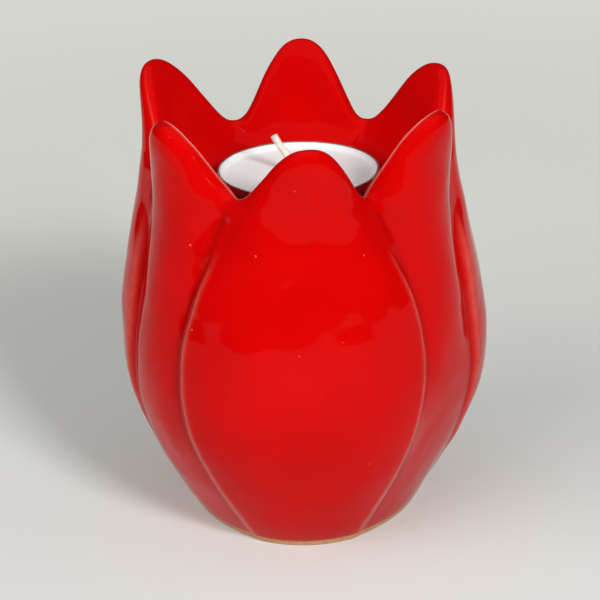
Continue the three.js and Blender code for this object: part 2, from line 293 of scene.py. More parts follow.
@dataclass(frozen=True)
class RedGlaze(Finish):
    """Glossy red earthenware glaze, dipped and fired.

    The eye sees a deep, even red under a clear gloss. It breaks to a pale orange where it ran thin over a
    crest and holds a few pinholes and specks of grit. The creases are painted darker as their shade, the
    outer petals' step faces get a painted pale highlight, and the red is darker just above its lower edge.
    """

    name: str = "dipped_red_glaze"
    colour: str = "#C20303"
    cloud: str = "#B80202"
    # Pale orange where the glaze is thin over crests and at the foot, also used as a painted highlight on the
    # outer petals' step faces
    thin: str = "#DE8276"
    # Dark red for the painted shade along the creases, and for the darker band just above the glaze's lower
    # edge
    crease_shade_and_foot_dark: str = "#8A0805"
    pinhole: str = "#F06A5C"
    grit: str = "#8E0604"
    cloud_size: float = 20.0
    cloud_edges: tuple[float, float] = (0.35, 0.7)
    pale_waver_size: float = 2.2
    pale_waver_edges: tuple[float, float] = (0.3, 0.6)
    pale_waver_least: float = 0.65
    pinhole_spacing: float = 5.0
    pinhole_radius: float = 0.28
    grit_spacing: float = 5.5
    grit_radius: float = 0.36
    spot_core: float = 0.4
    spot_chance: float = 0.5
    spot_most: float = 0.9
    peel_size: float = 1.6
    peel_depth: float = 0.004
    roughness: float = 0.05
    # Glaze is near 1.5. The lower value keeps the red as saturated as it looks, with the same pale edges.
    ior: float = 1.18

    def look(self, tree: NodeTree, place: NodeSocket) -> dict:
        """Lays the glaze's colours over each other and gives it its gloss."""
        _, colour = patched(tree, place, self.cloud_size, (self.colour, self.cloud), edges=self.cloud_edges)
        crease_shade_and_foot_dark = add_node(tree, "ShaderNodeAttribute", attribute_name=Mark.CREASE_SHADE_AND_FOOT_DARK.value)
        layers = (
            (self.spots(tree, place, self.pinhole_spacing, self.pinhole_radius), self.pinhole),
            (self.spots(tree, place, self.grit_spacing, self.grit_radius), self.grit),
            # Painted shade along the creases, and darker just above the glaze's lower edge
            (crease_shade_and_foot_dark.outputs["Fac"], self.crease_shade_and_foot_dark),
            # Thin glaze over crests and at the foot, with a painted highlight on the outer petals' step faces
            (self.break_and_highlight(tree, place), self.thin),
        )
        for share, over in layers:
            mixed = {0: share, 6: colour, 7: linear(over)}
            colour = add_node(tree, "ShaderNodeMix", mixed, data_type="RGBA").outputs[2]
        return {
            "Base Color": colour,
            "Roughness": self.roughness,
            "IOR": self.ior,
            "Normal": uneven(tree, place, self.peel_size, self.peel_depth),
        }

    def spots(self, tree: NodeTree, place: NodeSocket, spacing: float, radius: float) -> NodeSocket:
        """Scatters small round spots, some of them faint.

        Args:
            tree: The node tree.
            place: The point on the object.
            spacing: Distance between places that can hold a spot.
            radius: A spot's radius.

        Returns:
            How much of the spots' colour shows.
        """
        cells = add_node(tree, "ShaderNodeTexVoronoi", {"Vector": place, "Scale": per_metre(spacing)})
        rim = radius / spacing
        within = {"Value": cells.outputs["Distance"], "From Min": rim, "From Max": self.spot_core * rim}
        spot = add_node(tree, "ShaderNodeMapRange", within)
        chance = add_node(tree, "ShaderNodeSeparateColor", {"Color": cells.outputs["Color"]})
        picked = {"Value": chance.outputs[0], "From Min": self.spot_chance, "To Max": self.spot_most}
        chosen = add_node(tree, "ShaderNodeMapRange", picked)
        both = {0: spot.outputs[0], 1: chosen.outputs[0]}
        return add_node(tree, "ShaderNodeMath", both, operation="MULTIPLY").outputs[0]

    def break_and_highlight(self, tree: NodeTree, place: NodeSocket) -> NodeSocket:
        """Gives the share of pale orange, a little uneven along the crest: clay that shows where the glaze is
        thin, and a painted highlight on the outer petals' step faces.

        Args:
            tree: The node tree.
            place: The point on the object.

        Returns:
            The share.
        """
        thin = add_node(tree, "ShaderNodeAttribute", attribute_name=Mark.THIN.value)
        waver = add_node(tree, "ShaderNodeTexNoise", {"Vector": place, "Scale": per_metre(self.pale_waver_size)})
        low, high = self.pale_waver_edges
        spread = {"From Min": low, "From Max": high, "To Min": self.pale_waver_least}
        strength = add_node(tree, "ShaderNodeMapRange", {"Value": waver.outputs["Fac"], **spread})
        both = {0: thin.outputs["Fac"], 1: strength.outputs[0]}
        return add_node(tree, "ShaderNodeMath", both, operation="MULTIPLY").outputs[0]


@dataclass(frozen=True)
class BiscuitClay(Finish):
    """Bare earthenware, slip-cast, sponged and fired.

    The eye sees a dry tan clay with a fine speckle and a faint drag from the sponge.
    """

    name: str = "biscuit_clay"
    colour: str = "#C48E68"
    speckle: str = "#9C6A48"
    speckle_size: float = 0.7
    speckle_detail: float = 4.0
    speckle_edges: tuple[float, float] = (0.5, 0.75)
    speckle_most: float = 0.8
    sponge_size: float = 4.0
    sponge_depth: float = 0.1
    sponge_strength: float = 0.6
    roughness: float = 0.85
    ior: float = 1.5

    def look(self, tree: NodeTree, place: NodeSocket) -> dict:
        """Speckles the clay and roughens it."""
        speckle = (self.speckle_size, (self.colour, self.speckle), self.speckle_detail)
        _, colour = patched(tree, place, *speckle, self.speckle_edges, self.speckle_most)
        return {
            "Base Color": colour,
            "Roughness": self.roughness,
            "IOR": self.ior,
            "Normal": uneven(tree, place, self.sponge_size, self.sponge_depth, self.sponge_strength),
        }


@dataclass(frozen=True)
class PressedAluminium(Finish):
    """Thin bright aluminium, deep drawn into a cup.

    The eye sees a soft mirror with fine upright scratches from the die.
    """

    name: str = "pressed_aluminium"
    colour: str = "#E6E7E8"
    dull: str = "#D2D3D5"
    scratch_size: float = 0.5
    scratch_length: float = 12.0
    scratch_detail: float = 3.0
    roughness_least: float = 0.256
    roughness_most: float = 0.416

    def look(self, tree: NodeTree, place: NodeSocket) -> dict:
        """Draws the scratches upright, in the colour and in the gloss."""
        stretch = (1.0, 1.0, self.scratch_size / self.scratch_length)
        along = add_node(tree, "ShaderNodeMapping", {"Vector": place, "Scale": stretch}).outputs[0]
        colours = (self.colour, self.dull)
        scratch, colour = patched(tree, along, self.scratch_size, colours, self.scratch_detail)
        spread = {"Value": scratch, "To Min": self.roughness_least, "To Max": self.roughness_most}
        gloss = add_node(tree, "ShaderNodeMapRange", spread)
        return {"Base Color": colour, "Metallic": 1.0, "Roughness": gloss.outputs[0]}


@dataclass(frozen=True)
class ParaffinWax(Finish):
    """White paraffin wax, poured and set.

    The eye sees a soft white that light enters, with a satin skin and faint cloudy patches.
    """

    name: str = "paraffin_wax"
    colour: str = "#FAFCFA"
    cloud: str = "#F2F4F2"
    cloud_size: float = 7.0
    satin_size: float = 1.5
    satin_depth: float = 0.03
    satin_strength: float = 0.5
    roughness: float = 0.42
    ior: float = 1.43
    glow: float = 0.35
    glow_reach: float = 2.5
    glow_reach_blue: float = 2.0

    def look(self, tree: NodeTree, place: NodeSocket) -> dict:
        """Clouds the wax and lets light into it."""
        _, colour = patched(tree, place, self.cloud_size, (self.colour, self.cloud))
        return {
            "Base Color": colour,
            "Roughness": self.roughness,
            "IOR": self.ior,
            "Subsurface Weight": self.glow,
            "Subsurface Radius": (self.glow_reach * MM, self.glow_reach * MM, self.glow_reach_blue * MM),
            "Subsurface Scale": 1.0,
            "Normal": uneven(tree, place, self.satin_size, self.satin_depth, self.satin_strength),
        }


@dataclass(frozen=True)
class WaxedCotton(Finish):
    """Braided cotton yarn, dipped in wax.

    The eye sees an off-white cord whose strands are dull in the grooves and a little shiny on top.
    """

    name: str = "waxed_cotton"
    colour: str = "#F2ECE4"
    groove: str = "#D6CDC0"
    fibre_size: float = 0.18
    fibre_detail: float = 3.0
    fibre_depth: float = 0.05
    fibre_strength: float = 0.7
    roughness: float = 0.7
    ior: float = 1.46

    def look(self, tree: NodeTree, place: NodeSocket) -> dict:
        """Streaks the yarn with its fibres."""
        colours = (self.colour, self.groove)
        fibres, colour = patched(tree, place, self.fibre_size, colours, self.fibre_detail)
        relief = {"Height": fibres, "Strength": self.fibre_strength, "Distance": self.fibre_depth * MM}
        return {
            "Base Color": colour,
            "Roughness": self.roughness,
            "IOR": self.ior,
            "Normal": add_node(tree, "ShaderNodeBump", relief).outputs["Normal"],
        }


@dataclass(frozen=True)
class TinnedSteel(Finish):
    """Thin tinned steel, stamped.

    The eye sees a grey metal, duller than the cup, with a mottled skin of tin.
    """

    name: str = "tinned_steel"
    colour: str = "#C9CBCC"
    mottle: str = "#A9ACAE"
    mottle_size: float = 1.2
    roughness: float = 0.36

    def look(self, tree: NodeTree, place: NodeSocket) -> dict:
        """Mottles the tin."""
        spread = {"Vector": place, "Scale": per_metre(self.mottle_size)}
        cells = add_node(tree, "ShaderNodeTexVoronoi", spread)
        mixed = {0: cells.outputs["Distance"], 6: linear(self.colour), 7: linear(self.mottle)}
        colour = add_node(tree, "ShaderNodeMix", mixed, data_type="RGBA")
        return {"Base Color": colour.outputs[2], "Metallic": 1.0, "Roughness": self.roughness}


@dataclass(frozen=True)
class StudioPaper(Finish):
    """Matt white background paper, a roll laid over a table.

    The eye sees an even pale ground that takes soft shadows.
    """

    name: str = "studio_paper"
    near: str = "#DEE1DE"
    far: str = "#F0F2EA"
    # How far back, in metres, the far colour is reached
    far_back: float = 0.2
    fibre_size: float = 1.5
    fibre_depth: float = 0.05
    fibre_strength: float = 0.1
    roughness: float = 0.95
    specular: float = 0.1
    # How much of the backdrop shows in the paper near the object, and between which distances it grows
    lift: float = 0.18
    fade_start: float = 0.1
    fade_end: float = 0.5

    def look(self, tree: NodeTree, place: NodeSocket) -> dict:
        """Lets the paper turn a little greener away from the front."""
        axes = add_node(tree, "ShaderNodeSeparateXYZ", {"Vector": place})
        share = add_node(tree, "ShaderNodeMapRange", {"Value": axes.outputs["Y"], "From Max": self.far_back})
        mixed = {0: share.outputs[0], 6: linear(self.near), 7: linear(self.far)}
        colour = add_node(tree, "ShaderNodeMix", mixed, data_type="RGBA")
        return {
            "Base Color": colour.outputs[2],
            "Roughness": self.roughness,
            "Specular IOR Level": self.specular,
            "Normal": uneven(tree, place, self.fibre_size, self.fibre_depth, self.fibre_strength),
        }

    def shader(self, tree: NodeTree, place: NodeSocket) -> Node:
        """Turns the paper into the backdrop towards its edge, where the ground is seen."""
        paper = add_node(tree, "ShaderNodeBsdfPrincipled", self.look(tree, place))
        glow = add_node(tree, "ShaderNodeEmission", {"Color": linear(BACKDROP), "Strength": 1.0})
        reach = add_node(tree, "ShaderNodeVectorMath", {0: place}, operation="LENGTH")
        fade = {
            "Value": reach.outputs["Value"],
            "From Min": self.fade_start,
            "From Max": self.fade_end,
            "To Min": self.lift,
        }
        share = add_node(tree, "ShaderNodeMapRange", fade, interpolation_type="SMOOTHSTEP")
        both = {0: seen_directly(tree), 1: share.outputs[0]}
        shown = add_node(tree, "ShaderNodeMath", both, operation="MULTIPLY")
        sides = {0: shown.outputs[0], 1: paper.outputs[0], 2: glow.outputs[0]}
        return add_node(tree, "ShaderNodeMixShader", sides)


def skin(
    name: str,
    grid: np.ndarray,
    finishes: list[Finish],
    finish_of_row: np.ndarray | None = None,
    marks: dict[Mark, np.ndarray] | None = None,
    ring: bool = False,
) -> Object:
    """Makes a smooth mesh over a grid of points that closes on itself round the axis.

    Args:
        name: The piece's name.
        grid: Points in millimetres, as columns by rows by three.
        finishes: The finishes of the mesh's faces.
        finish_of_row: Which of them each strip between two rows has, or None for the first.
        marks: Values for the glaze, as columns by rows.
        ring: True where the rows close on themselves too.

    Returns:
        The object, at the origin.
    """
    columns, rows = grid.shape[:2]
    index = np.arange(columns * rows).reshape(columns, rows)
    if ring:
        index = np.hstack([index, index[:, :1]])
    after = np.roll(index, -1, axis=0)
    faces = np.stack([index[:, :-1], after[:, :-1], after[:, 1:], index[:, 1:]], -1).reshape(-1, 4)
    mesh = bpy.data.meshes.new(name)
    mesh.from_pydata((grid.reshape(-1, 3) * MM).tolist(), [], faces.tolist())
    if finish_of_row is not None:
        mesh.polygons.foreach_set("material_index", np.tile(finish_of_row, columns))
    for mark, values in (marks or {}).items():
        mesh.attributes.new(mark.value, "FLOAT", "POINT").data.foreach_set("value", values.ravel())
    work = bmesh.new()
    work.from_mesh(mesh)
    bmesh.ops.remove_doubles(work, verts=work.verts, dist=MM / 1000)
    work.to_mesh(mesh)
    work.free()
    mesh.shade_smooth()
    mesh.set_sharp_from_angle(angle=SHARP_ANGLE)
    for finish in finishes:
        mesh.materials.append(finish.material())
    piece = bpy.data.objects.new(name, mesh)
    bpy.context.scene.collection.objects.link(piece)
    return piece


def ripple(piece: Object, depth: float, size: float, seed: float, above: float) -> None:
    """Moves a mesh's points in and out a little, as a glaze or poured wax lies.

    Args:
        piece: The object.
        depth: Most that a point moves, in millimetres.
        size: Size of the ripples.
        seed: Offset that sets one pattern off from another.
        above: Height from which the ripples are there.
    """
    mesh = piece.data
    count = len(mesh.vertices)
    points = np.empty(count * 3)
    normals = np.empty(count * 3)
    mesh.vertices.foreach_get("co", points)
    mesh.vertex_normals.foreach_get("vector", normals)
    points = points.reshape(-1, 3)
    wave = np.array([noise.noise(Vector(p) * per_metre(size) + Vector((seed, 0, 0))) for p in points])
    there = smooth_step((points[:, 2] / MM - above) / size)
    points += normals.reshape(-1, 3) * (wave * there * depth * MM)[:, None]
    mesh.vertices.foreach_set("co", points.ravel())
    mesh.update()


@dataclass(frozen=True)
class Petal:
    """What sets one petal off from the regular flower.

    rise is added to its tip's height and turn, in degrees, to its azimuth. low, bulge and flare are how far
    it stands out near the foot, at the middle and at the tip. crest is how far across the lip its highest
    line lies, from 0 at the outside to 1 at the inside, and bareness how thin the glaze is there.
    """

    layer: Layer
    rise: float
    turn: float
    low: float
    bulge: float
    flare: float
    crest: float = 0.5
    bareness: float = 0.0


@dataclass
class Tulip:
    """The slip-cast flower: its six petals, the bowl and pocket between them, and the hollow underneath."""

    foot_radius: float = 28.5
    belly_radius: float = 44.1
    belly_height: float = 41.5
    crease_height: float = 66.0
    waist_radius: float = 39.1
    waist_height: float = 88.4
    crown_radius: float = 43.5
    crown_height: float = 104.0
    tip_height: float = 100.2
    notch_height: float = 85.9
    foot_round: float = 0.8
    notch_thickness: float = 4.2
    tip_thickness: float = 7.5
    notch_shoulder: float = 3.0
    tip_shoulder: float = 7.0
    shoulder_narrowing: float = 2.0
    petal_fullness: float = 1.13
    wall: float = 4.5
    pocket_radius: float = 20.95
    pocket_floor: float = 68.4
    pocket_depth: float = 12.5
    pocket_round: float = 1.4
    lip_fullness: float = 1.25
    bowl_reach: float = 0.8
    bowl_reach_tip: float = 0.42
    bowl_rise: float = 0.05
    bowl_crowding: float = 1.4
    foot_thickness: float = 6.0
    cast_round: float = 5.0
    drain_radius: float = 5.0
    recess_radius: float = 17.0
    recess_depth: float = 1.5
    foot_half_angle: float = 29.1
    wide_half_angle: float = 45.4
    notch_half_angle: float = 29.5
    wide_height: float = 49.8
    petal_pitch: float = 60.0
    # At the foot, belly, crease, notches and tip: the fall of an outer petal to its edge, the drop over that
    # edge and the rise of the inner petal beside it
    lobe: tuple[float, ...] = (1.3, 2.1, 3.0, 4.3, 4.1)
    step: tuple[float, ...] = (0.4, 1.5, 2.3, 4.2, 3.0)
    swell: tuple[float, ...] = (-1.5, 0.3, 2.5, 6.4, 5.3)
    # Where petals stand out from the regular flower by their own low and bulge
    low_height: float = 27.0
    bulge_height: float = 60.0
    # The outer petals' edges stand off crisply up to a height, and over a width
    step_width: float = 3.2
    step_top: float = 76.0
    step_fade: float = 12.0
    edge_softness: float = 6.0
    crease_fillet: float = 1.0
    notch_fillet: float = 5.0
    glaze_thickness: float = 0.2
    glaze_edge: float = 1.1
    glaze_edge_front: float = 0.5
    glaze_edge_waver: float = 3.0
    # Where the glaze is thin, where the creases are painted with shade and the outer petals' step faces with
    # a highlight, and where the glaze is darker just above its lower edge: over what width, and by how much
    break_width: float = 0.25
    crease_width: float = 1.1
    # Painted shade along the creases
    crease_shade: float = 0.4
    shelf_place: float = 0.8
    shelf_width: float = 0.9
    # Painted highlight on the outer petals' step faces
    shelf_highlight: float = 0.3
    foot_fade: float = 4.0
    # A darker band just above the glaze's lower edge
    foot_darkening: float = 0.3
    foot_break: float = 0.08
    # Depth, size and pattern of each layer of ripples in the glaze
    ripples: tuple[tuple[float, float, float], ...] = ((0.3, 13.0, 5.0), (0.13, 6.0, 9.0))
    petals: tuple[Petal, ...] = (
        Petal(Layer.OUTER, 0.5, 4.0, 0.6, 0.1, -1.4),
        Petal(Layer.INNER, 3.8, -5.1, -2.0, 0.9, 1.6, crest=0.75, bareness=0.9),
        Petal(Layer.OUTER, 1.5, -0.2, 1.3, -0.1, 0.0),
        Petal(Layer.INNER, 2.9, -1.5, -0.1, 1.0, -0.7),
        Petal(Layer.OUTER, 3.3, -2.0, -1.5, 0.2, 0.7),
        Petal(Layer.INNER, 1.1, 0.3, 0.5, -0.7, -1.0, crest=0.75, bareness=1.0),
    )
    outer_steps: int = 84
    inner_steps: int = 60
    wall_steps: int = 120
    lip_steps: int = 20
    bowl_steps: int = 44
    hollow_steps: int = 24
    floor_steps: int = 6

    def middle_radius(self, z: np.ndarray) -> np.ndarray:
        """Gives the radius along the middle of an outer petal."""
        t = np.minimum(z / self.belly_height, 1)
        below = lerp(self.foot_radius, self.belly_radius, np.sin(QUARTER * t))
        t = np.clip((z - self.belly_height) / (self.waist_height - self.belly_height), 0, 1)
        above = lerp(self.belly_radius, self.waist_radius, (1 - np.cos(math.pi * t)) / 2)
        flare = np.maximum((z - self.waist_height) / (self.crown_height - self.waist_height), 0) ** 2
        return np.where(z < self.belly_height, below, above + (self.crown_radius - self.waist_radius) * flare)

    def half_angle(self, layer: Layer, z: np.ndarray) -> np.ndarray:
        """Gives half of the angle that a petal covers at a height, in degrees."""
        widening = np.sin(QUARTER * np.minimum(z / self.wide_height, 1))
        below = lerp(self.foot_half_angle, self.wide_half_angle, widening)
        t = np.clip((z - self.wide_height) / (self.notch_height - self.wide_height), 0, 1)
        above = lerp(self.notch_half_angle, self.wide_half_angle, np.cos(QUARTER * t))
        outer = np.where(z < self.wide_height, below, above)
        return outer if layer is Layer.OUTER else self.petal_pitch - outer

    def section(self, heights: tuple[float, ...], values: tuple[float, ...], z: np.ndarray) -> np.ndarray:
        """Goes smoothly through a value at each of some heights.

        Args:
            heights: The heights, lowest first.
            values: The value at each.
            z: Where to work it out.

        Returns:
            The value at each of those places.
        """
        heights = np.array(heights)
        stops = np.array(values)
        before = np.maximum(np.arange(len(stops)) - 1, 0)
        after = np.minimum(np.arange(len(stops)) + 1, len(stops) - 1)
        slopes = (stops[after] - stops[before]) / (heights[after] - heights[before])
        i = np.clip(np.searchsorted(heights, z, side="right") - 1, 0, len(stops) - 2)
        span = heights[i + 1] - heights[i]
        t = np.clip((z - heights[i]) / span, 0, 1)
        rise = stops[i + 1] - stops[i]
        start = slopes[i] * span
        end = slopes[i + 1] * span
        return stops[i] + t * start + t**2 * (3 * rise - 2 * start - end) + t**3 * (start + end - 2 * rise)

    def from_edge(self, petal: Petal, u: float, z: np.ndarray) -> np.ndarray:
        """Gives the distance round the flower to the petal's nearer edge."""
        return (1 - abs(u)) * np.radians(self.half_angle(petal.layer, z)) * self.middle_radius(z)

    def crispness(self, z: np.ndarray) -> np.ndarray:
        """Gives how crisply an outer petal's edge stands off at a height."""
        return smooth_step((self.step_top - z) / self.step_fade)

    def radius(self, index: int, u: float, z: np.ndarray) -> np.ndarray:
        """Gives the outer surface's radius.

        Args:
            index: The petal's number.
            u: Place across it, from -1 to 1.
            z: Heights.

        Returns:
            The radius at each height.
        """
        petal = self.petals[index]
        reach = (0.0, *(self.shared(index, u, name) for name in ("low", "bulge", "flare")))
        heights = (0.0, self.low_height, self.bulge_height, self.tip_height)
        middle = self.middle_radius(z) + self.section(heights, reach, z)
        heights = (0.0, self.belly_height, self.crease_height, self.notch_height, self.tip_height)
        sections = (self.lobe, self.step, self.swell)
        lobe, step, swell = (self.section(heights, values, z) for values in sections)
        sharp = self.crispness(z)
        edge = self.from_edge(petal, u, z)
        outer_width = np.radians(self.half_angle(Layer.OUTER, z)) * middle
        inner_width = np.radians(self.half_angle(Layer.INNER, z)) * middle
        slope = 2 * (lobe + self.edge_softness / 2 * step * (1 - sharp)) / outer_width
        slope += 2 * swell / inner_width
        width = lerp(self.notch_fillet, self.crease_fillet, sharp)
        fillet = slope / 4 * width * np.clip(1 - edge / width, 0, 1) ** 2
        if petal.layer is Layer.INNER:
            return middle - lobe - step + swell * (1 - u * u) + fillet
        crisp = smooth_step(1 - edge / self.step_width)
        soft = abs(u) ** self.edge_softness
        return middle - lobe * u * u - step * lerp(soft, crisp, sharp) + fillet

    def shared(self, index: int, u: float, name: str) -> float:
        """Blends one of a petal's values with its neighbour's towards the edge that they share.

        Args:
            index: The petal's number.
            u: Place across it.
            name: Name of the value.

        Returns:
            The blended value.
        """
        own = getattr(self.petals[index], name)
        beside = getattr(self.petals[(index + int(np.sign(u))) % len(self.petals)], name)
        return own + (beside - own) / 2 * u * u

    def azimuth(self, index: int, u: float, z: np.ndarray) -> np.ndarray:
        """Gives the azimuth in radians at heights, for a place across a petal."""
        turn = self.shared(index, u, "turn") * np.clip(z / self.notch_height, 0, 1)
        half = self.half_angle(self.petals[index].layer, z)
        return np.radians(index * self.petal_pitch + u * half + turn)

    def rim_height(self, petal: Petal, u: float) -> float:
        """Gives the height of the rim, down from the petal's tip to the notches."""
        fall = (1 + math.cos(math.pi * abs(u) ** self.petal_fullness)) / 2
        return self.notch_height + (self.tip_height + petal.rise - self.notch_height) * fall

    def rim_steepness(self, index: int, u: float) -> float:
        """Gives how steeply the rim runs up the petal's side, as rise over run."""
        petal = self.petals[index]
        reach = 2 / self.outer_steps
        low = max(u - reach, -1.0)
        high = min(u + reach, 1.0)
        z = np.array(self.rim_height(petal, u))
        run = self.radius(index, u, z) * (self.azimuth(index, high, z) - self.azimuth(index, low, z))
        return float((self.rim_height(petal, high) - self.rim_height(petal, low)) / run)

    def hollow_rows(self, index: int, u: float) -> np.ndarray:
        """Lists radius and height inside the casting, from the jacket's middle round to the drain's edge."""
        jacket = self.pocket_radius + self.wall
        jacket_floor = self.pocket_floor - self.wall
        ceiling = self.pocket_floor + self.pocket_depth - self.wall
        bend = self.cast_round
        turn = np.linspace(QUARTER, 0, CORNER_STEPS + 1)
        top = ceiling - bend + bend * np.sin(turn)
        side = np.linspace(ceiling - bend, self.foot_thickness + bend, self.hollow_steps + 1)[1:-1]
        bottom = self.foot_thickness + bend - bend * np.sin(turn[::-1])
        wall_z = np.concatenate([top, side, bottom])
        rounding = bend * (1 - np.cos(turn))
        inset = np.concatenate([rounding, 0 * side, rounding[::-1]])
        wall_r = self.radius(index, u, wall_z) - self.wall - inset
        wall_r = np.where(wall_z > jacket_floor, np.maximum(wall_r, jacket + self.foot_round), wall_r)
        inner = [(0, jacket_floor), *arc(jacket - bend, jacket_floor + bend, bend, -90, 0), (jacket, ceiling)]
        drain = [(self.drain_radius, self.foot_thickness), (self.drain_radius, self.recess_depth)]
        return np.vstack([inner, np.column_stack([wall_r, wall_z]), drain])

    def foot_rows(self, index: int, u: float) -> np.ndarray:
        """Lists radius and height from the recess out over the foot and round its edge."""
        bend = self.foot_round
        edge = float(self.radius(index, u, np.array(bend))) - self.glaze_thickness
        recess = [(self.recess_radius - self.recess_depth, self.recess_depth), (self.recess_radius, 0)]
        return np.array([*recess, *arc(edge - bend, bend, bend, -90, 0)])

    def wall_rows(self, index: int, u: float, shoulder: float) -> np.ndarray:
        """Lists radius and height up the petal's outside, from the glaze's lower edge to the lip."""
        around = float(self.azimuth(index, u, np.array(0.0)))
        waver = noise.noise(self.glaze_edge_waver * Vector((math.sin(around), math.cos(around), 0)))
        start = self.glaze_edge + self.glaze_edge_front * math.cos(around) + self.glaze_thickness * waver
        start = max(start, self.foot_round + self.glaze_thickness / 2)
        z = np.linspace(start + self.glaze_thickness, shoulder, self.wall_steps + 1)
        z = np.concatenate([[start], z])
        r = self.radius(index, u, z)
        r[0] -= self.glaze_thickness
        return np.column_stack([r, z])

    def thickness(self, u: float) -> float:
        """Gives how thick the lip is, across from the outside to the inside."""
        return lerp(self.notch_thickness, self.tip_thickness, 1 - u * u)

    def lip_rows(self, index: int, u: float, shoulder: float, height: float) -> np.ndarray:
        """Lists radius and height over the lip, from just past the shoulder to its crest."""
        crest = self.shared(index, u, "crest")
        angle = np.linspace(0, QUARTER, self.lip_steps + 1)[1:]
        z = shoulder + height * np.sin(angle)
        inset = self.thickness(u) * crest * (1 - np.cos(angle))
        return np.column_stack([self.radius(index, u, z) - inset, z])

    def bowl_rows(self, index: int, u: float, top: float) -> np.ndarray:
        """Lists radius and height from the crest down the bowl and the pocket to the middle of its floor."""
        crest = self.shared(index, u, "crest")
        mouth = self.pocket_floor + self.pocket_depth
        start_r = float(self.radius(index, u, np.array(top))) - self.thickness(u) * crest
        end_r = self.pocket_radius + self.pocket_round
        t = np.linspace(0, 1, self.bowl_steps + 1)[1:] ** self.bowl_crowding
        over_r = start_r - self.thickness(u) * (1 - crest) * self.lip_fullness
        reach = lerp(self.bowl_reach, self.bowl_reach_tip, (1 + math.cos(math.pi * u)) / 2)
        foot_r = lerp(end_r, start_r, reach)
        foot_z = lerp(mouth, top, self.bowl_rise)
        slope_r = bezier(t, start_r, over_r, foot_r, end_r)
        slope_z = bezier(t, top, top, foot_z, mouth)
        bend = self.pocket_round
        edge = arc(end_r, mouth - bend, bend, 90, 180)[1:]
        corner = arc(self.pocket_radius - bend, self.pocket_floor + bend, bend, 0, -90)
        inward = np.linspace(self.pocket_radius - bend, 0, self.floor_steps)[1:]
        floor = [(r, self.pocket_floor) for r in inward]
        return np.vstack([np.column_stack([slope_r, slope_z]), edge, corner, floor])

    def column(self, index: int, u: float) -> tuple[np.ndarray, dict[Mark, np.ndarray], np.ndarray]:
        """Works out one column of the whole skin.

        Args:
            index: The petal's number.
            u: Place across it, from -1 to 1.

        Returns:
            The column's points, its marks for the glaze, and whether each row is bare clay.
        """
        petal = self.petals[index]
        top = self.rim_height(petal, u)
        steepness = self.rim_steepness(index, u)
        shoulder_share = (1 - u * u) ** self.shoulder_narrowing
        lip_width = lerp(self.notch_shoulder, self.tip_shoulder, shoulder_share)
        lip_height = lip_width * math.sqrt(1 + steepness**2)
        shoulder = top - lip_height
        hollow = self.hollow_rows(index, u)
        foot = self.foot_rows(index, u)
        wall = self.wall_rows(index, u, shoulder)
        lip = self.lip_rows(index, u, shoulder, lip_height)
        bowl = self.bowl_rows(index, u, top)
        r, z = np.vstack([hollow, foot, wall, lip, bowl]).T
        bare = len(hollow) + len(foot)
        crest = bare + len(wall) + len(lip) - 1
        twist = z.copy()
        twist[len(hollow) : bare] = 0
        twist[crest + 1 :] = np.maximum(bowl[:, 1], self.notch_height)
        around = self.azimuth(index, u, twist)
        outside = slice(bare, bare + len(wall))
        edge = self.from_edge(petal, u, z[outside])
        at_foot = hump(z[outside] - z[bare], self.foot_fade)
        crease_shade_and_foot_dark = np.zeros(len(r))
        in_crease = hump(edge, self.crease_width)
        # Painted shade along the creases, and darker just above the glaze's lower edge
        crease_shade_and_foot_dark[outside] = np.maximum(self.crease_shade * in_crease, self.foot_darkening * at_foot)
        run = np.hypot(r - r[crest], z - z[crest])
        thin = self.shared(index, u, "bareness") * hump(run, self.break_width)
        thin[: outside.stop] = 0
        thin[outside] = self.foot_break * at_foot
        # A painted highlight on the outer petals' step faces, in the thin glaze's pale orange
        if petal.layer is Layer.OUTER:
            shelf = hump(edge - self.shelf_place * self.step_width, self.shelf_width)
            thin[outside] += self.shelf_highlight * self.crispness(z[outside]) * shelf
        points = np.stack([r * np.sin(around), -r * np.cos(around), z], -1)
        return points, {Mark.THIN: thin, Mark.CREASE_SHADE_AND_FOOT_DARK: crease_shade_and_foot_dark}, np.arange(len(r) - 1) < bare

    def places(self) -> Iterator[tuple[int, float]]:
        """Lists the columns' places round the flower, closer together at the outer petals' edges."""
        for index, petal in enumerate(self.petals):
            steps = self.outer_steps if petal.layer is Layer.OUTER else self.inner_steps
            for even in np.linspace(-1, 1, steps, endpoint=False):
                yield index, float(math.sin(QUARTER * even) if petal.layer is Layer.OUTER else even)

    def build(self) -> list[Object]:
        """Builds the flower over its CAD node.

        Returns:
            The pieces.
        """
        points, marks, bare = zip(*(self.column(index, u) for index, u in self.places()))
        shell = skin(
            "tulip_shell",
            np.stack(points) + np.array(AXIS) / MM,
            [RedGlaze(), BiscuitClay()],
            bare[0].astype(np.int32),
            {mark: np.stack([values[mark] for values in marks]) for mark in Mark},
        )
        for depth, size, seed in self.ripples:
            ripple(shell, depth, size, seed, self.glaze_edge)
        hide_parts("tulip_holder")
        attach(shell, "holder")
        return [shell]


